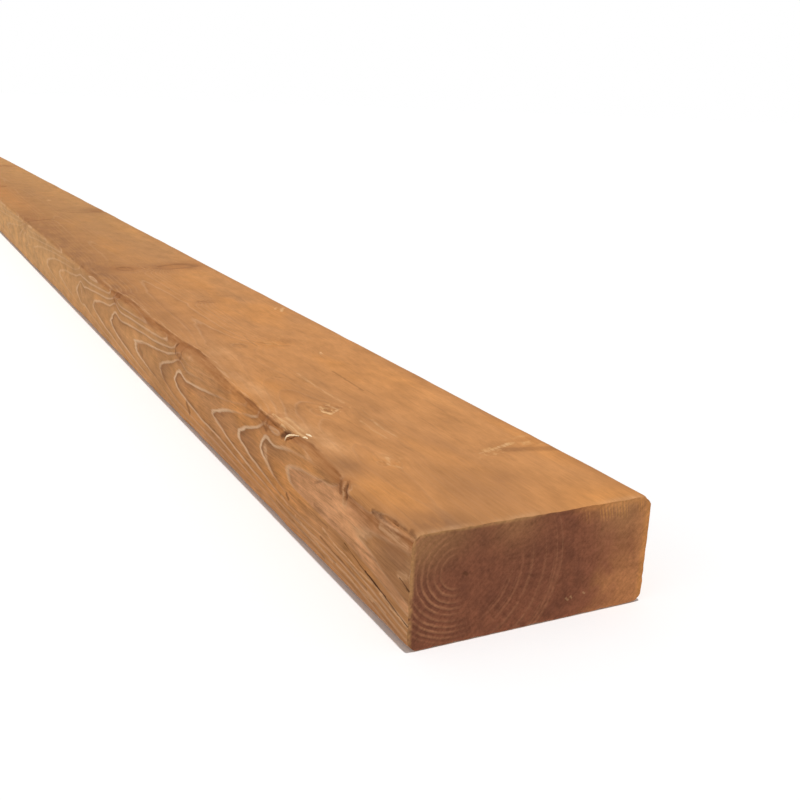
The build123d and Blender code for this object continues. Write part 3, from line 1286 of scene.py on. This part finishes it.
class BoardSettings(bpy.types.PropertyGroup):
    """Sizes and colours of the board."""

    eased_radius: length("Eased edges", "Radius planed along the four long edges", 3.175 * MM)
    stain: colour("Stain", "Brown stain on the long faces", 200, 141, 89)
    greyed: colour("Greyed stain", "Where the stain is duller", 182, 131, 88)
    warm: colour("Warm stain", "Where the stain is more orange", 214, 146, 82)
    # also the colour of the painted shade low on the left face and along the upper left edge
    dull_and_shade: colour("Dull stain", "Darker, dirtier patches", 150, 106, 72)
    pale: colour("Pale stain", "Paler, pinker patches", 216, 168, 124)
    weathered: colour("Weathered stain", "The stain far along the wide faces", 190, 143, 92)
    bleached: colour("Bleached stain", "The stain far along the left narrow face", 206, 160, 108)
    inner_ring: colour("Innermost ring", "The pinkish ring on the left narrow face", 222, 162, 116)
    late_wood: colour("Late wood", "The dark outer part of each ring", 150, 104, 70)
    ring_line: colour("Ring line", "The thin pale edge of each ring", 226, 186, 147)
    end_grain: colour("End grain", "Stain on the sawn ends", 148, 93, 68)
    # also the painted shade just outside the end's ring lines
    end_dark: colour("Dark end grain", "Late wood and blotches on the sawn ends", 119, 74, 56)
    end_line: colour("End ring line", "Pale ring edges on the sawn ends", 178, 122, 88)
    end_sap: colour("Outer end grain", "The outermost rings on the sawn ends", 192, 130, 84)
    end_lip: colour("End lip", "Pale fuzz where a sawn end meets a face", 190, 140, 92)
    edge: colour("Eased edge", "Darker stain along the eased edges", 152, 98, 58)
    knot: colour("Knot", "Knots and the wood close round them", 158, 98, 60)
    # also the painted shade in pits and nicks
    knot_dark: colour("Knot rim", "Knot rims, pits and specks", 92, 58, 40)
    # painted shade inside the drying cracks
    crack: colour("Crack", "Inside the drying cracks", 72, 44, 30)
    lifted: colour("Lifted fibre", "Pale fibres that the planer lifted", 234, 190, 138)
    torn: colour("Torn fibre", "Fresh torn slivers", 254, 234, 198)
    torn_shade: colour("Torn fibre shade", "Streaks on fresh torn slivers", 222, 172, 116)


class StageSettings(bpy.types.PropertyGroup):
    """The floor, the light and the camera."""

    floor_size: length("Floor", "Width of the square floor", 40.0)
    floor: colour("Floor colour", "Colour of the floor", 252, 252, 252)
    sky: number("Sky", "Strength of the even light", 0.34)
    key: number("Key light", "Strength of the light from above", 2.06)
    key_spread: angle("Key spread", "Angle that the light from above fills", 2)
    fill: number("Fill light", "Strength of the light from the left", 0.52)
    fill_spread: angle("Fill spread", "Angle that the light from the left fills", 60)
    lens: number("Lens", "Focal length in millimetres for a 36 mm sensor", 46.3)


class LUMBER_OT_board(bpy.types.Operator):
    """Makes the board: the eased section carried along its length, closed by two sawn ends"""

    bl_idname = "lumber.board"
    bl_label = "Board"

    def execute(self, context):
        settings = context.scene.lumber_board
        points, faces, normals, ends, flat, cuts = board_surface(settings.eased_radius / MM)
        piece = write_mesh("board", points, faces)
        mesh = piece.data
        sharpen(mesh, cuts)
        place, added = log_place(points)
        corners = faces.ravel()
        knot_place, knot_kind = knot_look(points)
        write_values(mesh, "log_place", "FLOAT_VECTOR", "POINT", place)
        write_values(mesh, "ring_shift", "FLOAT", "POINT", added)
        write_values(mesh, "ring_slope", "FLOAT", "CORNER", ring_slope(points[corners], normals))
        write_values(mesh, "rings_show", "FLOAT", "CORNER", rings_show(points[corners], normals))
        write_values(mesh, "knot_place", "FLOAT_VECTOR", "POINT", knot_place)
        write_values(mesh, "knot_kind", "FLOAT_VECTOR", "POINT", knot_kind)
        write_values(mesh, "tints", "FLOAT_VECTOR", "POINT", tints(points))
        write_values(mesh, "arris", "FLOAT", "POINT", arris(points))
        write_values(mesh, "below_worn_line", "FLOAT", "POINT", below_worn_line(points))
        mesh.uv_layers.new(name="OFBake").data.foreach_set("uv", flat.ravel())
        write_values(mesh, "end_grain", "FLOAT", "CORNER", ends)
        mesh.materials.append(wood_material(settings))
        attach(piece, BODY)
        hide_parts(NODE)
        return {"FINISHED"}


class LUMBER_OT_slivers(bpy.types.Operator):
    """Makes the torn slivers that curl off the upper left edge"""

    bl_idname = "lumber.slivers"
    bl_label = "Torn slivers"

    def execute(self, context):
        material = sliver_material(context.scene.lumber_board)
        for number, sliver in enumerate(SLIVERS, 1):
            piece = write_mesh(f"torn_sliver_{number}", *sliver_surface(sliver))
            piece.data.materials.append(material)
            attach(piece, BODY)
        return {"FINISHED"}


# The camera's place from the middle of the near end's bottom edge, in metres, and how it is turned
CAMERA_PLACE = Vector((0.2395, -0.1751, 0.1575))
CAMERA_AZIMUTH = math.radians(62.375)
CAMERA_ELEVATION = math.radians(16.158)
CAMERA_ROLL = math.radians(2.368)
CAMERA_SENSOR = 36.0  # its width in millimetres
CAMERA_CLIP = (0.01, 100.0)

# The floor lies a little under the board and glows faintly; the two lights shine these ways
FLOOR_DROP = 0.05 * MM
FLOOR_GLOW = 0.03
KEY_TOWARD = (-0.12, 0.0, -0.99)
FILL_TOWARD = (-0.1, 0.96, -0.25)
SEEN_RAYS = ("Is Camera Ray", "Is Glossy Ray", "Is Transmission Ray")  # these see a plain white sky


def camera_turn(azimuth, elevation, roll):
    """The camera's turn: it looks back along azimuth and elevation, rolled about that line."""
    level = math.cos(elevation)
    back = Vector((math.sin(azimuth) * level, -math.cos(azimuth) * level, math.sin(elevation)))
    right = (-back).cross(Vector((0, 0, 1))).normalized()
    up = right.cross(-back)
    rolled_right = math.cos(roll) * right + math.sin(roll) * up
    rolled_up = math.cos(roll) * up - math.sin(roll) * right
    return Matrix((rolled_right, rolled_up, back)).transposed()


class LUMBER_OT_stage(bpy.types.Operator):
    """Makes the white floor, the soft light and the camera"""

    bl_idname = "lumber.stage"
    bl_label = "Stage"

    def execute(self, context):
        scene = context.scene
        settings = scene.lumber_stage
        self.floor(scene, settings)
        self.light(scene, settings)
        self.camera(scene, settings)
        scene.view_settings.view_transform = "Standard"
        return {"FINISHED"}

    def floor(self, scene, settings):
        """A flat sheet just under the board, white to the camera apart from the shadow on it."""
        half = settings.floor_size / 2
        corners = half * np.array(((-1, -1, 0), (1, -1, 0), (1, 1, 0), (-1, 1, 0)), float)
        corners[:, 2] = -FLOOR_DROP
        mesh = bpy.data.meshes.new("floor")
        mesh.from_pydata(corners, (), [(0, 1, 2, 3)])
        floor = bpy.data.objects.new("floor", mesh)
        scene.collection.objects.link(floor)
        material, start, shader = new_material("white_floor")
        shader.inputs["Base Color"].default_value = opaque(settings.floor)
        shader.inputs["Roughness"].default_value = 1.0
        shader.inputs["Specular IOR Level"].default_value = 0.0
        seen = start.node("ShaderNodeLightPath", None, None, "Is Camera Ray")
        link(seen.mix((0, 0, 0), (1, 1, 1)), shader, "Emission Color")
        shader.inputs["Emission Strength"].default_value = FLOOR_GLOW
        mesh.materials.append(material)

    def light(self, scene, settings):
        """An even sky, seen as plain white, a narrow key from above and a broad fill from aside."""
        world = bpy.data.worlds.new("white_room")
        world.use_nodes = True
        scene.world = world
        tree = world.node_tree
        rays = Field(tree).node("ShaderNodeLightPath").socket.node.outputs
        camera, glossy, through = (Field(tree, rays[name]) for name in SEEN_RAYS)
        seen = camera.most(glossy).most(through)
        background = tree.nodes["Background"]
        background.inputs["Color"].default_value = (1, 1, 1, 1)
        strength = settings.sky + (1 - settings.sky) * seen
        tree.links.new(strength.socket, background.inputs["Strength"])
        self.sun(scene, "key", settings.key, settings.key_spread, KEY_TOWARD)
        self.sun(scene, "fill", settings.fill, settings.fill_spread, FILL_TOWARD)

    def sun(self, scene, name, strength, spread, toward):
        """A distant light that shines one way, as broad as its spread."""
        lamp = bpy.data.lights.new(name, "SUN")
        lamp.energy = strength
        lamp.angle = spread
        sun = bpy.data.objects.new(name, lamp)
        sun.rotation_mode = "QUATERNION"
        sun.rotation_quaternion = Vector(toward).to_track_quat("-Z", "Y")
        scene.collection.objects.link(sun)

    def camera(self, scene, settings):
        """The photograph's viewpoint, close to the near end."""
        data = bpy.data.cameras.new("camera")
        data.lens = settings.lens
        data.sensor_width = CAMERA_SENSOR
        data.clip_start, data.clip_end = CAMERA_CLIP
        camera = bpy.data.objects.new("camera", data)
        turn = camera_turn(CAMERA_AZIMUTH, CAMERA_ELEVATION, CAMERA_ROLL)
        place = Vector((NEAR_END * MM, 0.0, LOW[2] * MM)) + CAMERA_PLACE
        camera.matrix_world = Matrix.Translation(place) @ turn.to_4x4()
        scene.collection.objects.link(camera)
        scene.camera = camera


class LUMBER_PT_panel(bpy.types.Panel):
    """Lists the board's pieces, the stage and their settings"""

    bl_idname = "LUMBER_PT_panel"
    bl_label = "Treated Two-by-Four"
    bl_space_type = "VIEW_3D"
    bl_region_type = "UI"
    bl_category = "Lumber"

    def draw(self, context):
        for group, operators in (
            (context.scene.lumber_board, (LUMBER_OT_board, LUMBER_OT_slivers)),
            (context.scene.lumber_stage, (LUMBER_OT_stage,)),
        ):
            box = self.layout.box()
            for name in group.bl_rna.properties.keys():
                if name not in ("rna_type", "name"):
                    box.prop(group, name)
            for operator in operators:
                box.operator(operator.bl_idname)


CLASSES = (
    BoardSettings,
    StageSettings,
    LUMBER_OT_board,
    LUMBER_OT_slivers,
    LUMBER_OT_stage,
    LUMBER_PT_panel,
)


def register():
    for cls in CLASSES:
        bpy.utils.register_class(cls)
    bpy.types.Scene.lumber_board = bpy.props.PointerProperty(type=BoardSettings)
    bpy.types.Scene.lumber_stage = bpy.props.PointerProperty(type=StageSettings)


def unregister():
    del bpy.types.Scene.lumber_stage
    del bpy.types.Scene.lumber_board
    for cls in reversed(CLASSES):
        bpy.utils.unregister_class(cls)


def main():
    """Makes every piece in order."""
    register()
    bpy.ops.lumber.board()
    bpy.ops.lumber.slivers()
    bpy.ops.lumber.stage()


if __name__ == "__main__":
    main()
